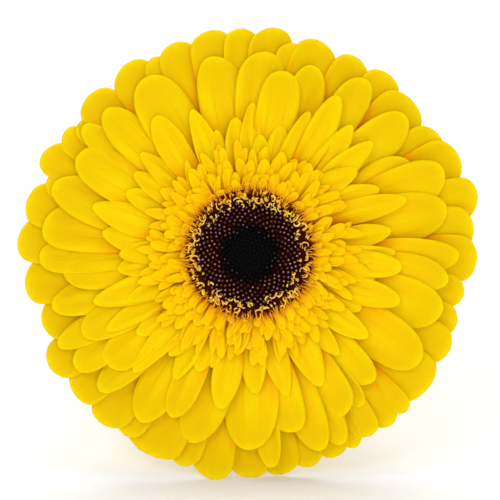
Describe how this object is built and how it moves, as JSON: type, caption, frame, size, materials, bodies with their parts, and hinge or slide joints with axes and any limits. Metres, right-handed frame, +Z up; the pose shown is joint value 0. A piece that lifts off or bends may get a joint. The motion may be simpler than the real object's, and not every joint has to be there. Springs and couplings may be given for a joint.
{
  "type": "gerbera daisy",
  "caption": "Full yellow gerbera daisy bloom with a dark disc on a short-cut leafless stem, picked and lying on its side.",
  "frame": {"origin": "on the surface the flower lies on, below the middle of its outer box", "axes": "+Z up; +Y along the stem from the bloom to the cut end; the open face looks towards -Y and a little up; +X to the right of someone facing the bloom"},
  "size_m": [0.1106, 0.1686, 0.1033],
  "materials": {
    "ray_floret": "soft petal, matte to satin",
    "short_floret": "soft petal, matte to satin",
    "curled_style": "soft, matte",
    "bristle": "soft hair, matte",
    "disc_floret": "closed florets, matte with pale tips",
    "bract": "downy leaf, matte",
    "stem": "downy stem, matte to satin"
  },
  "bodies": {
    "root": {"ray_florets": "ray_floret", "short_florets": "short_floret", "curled_styles": "curled_style", "bristles": "bristle", "disc_florets": "disc_floret", "involucre": "bract", "stem": "stem"}
  },
  "joints": []
}
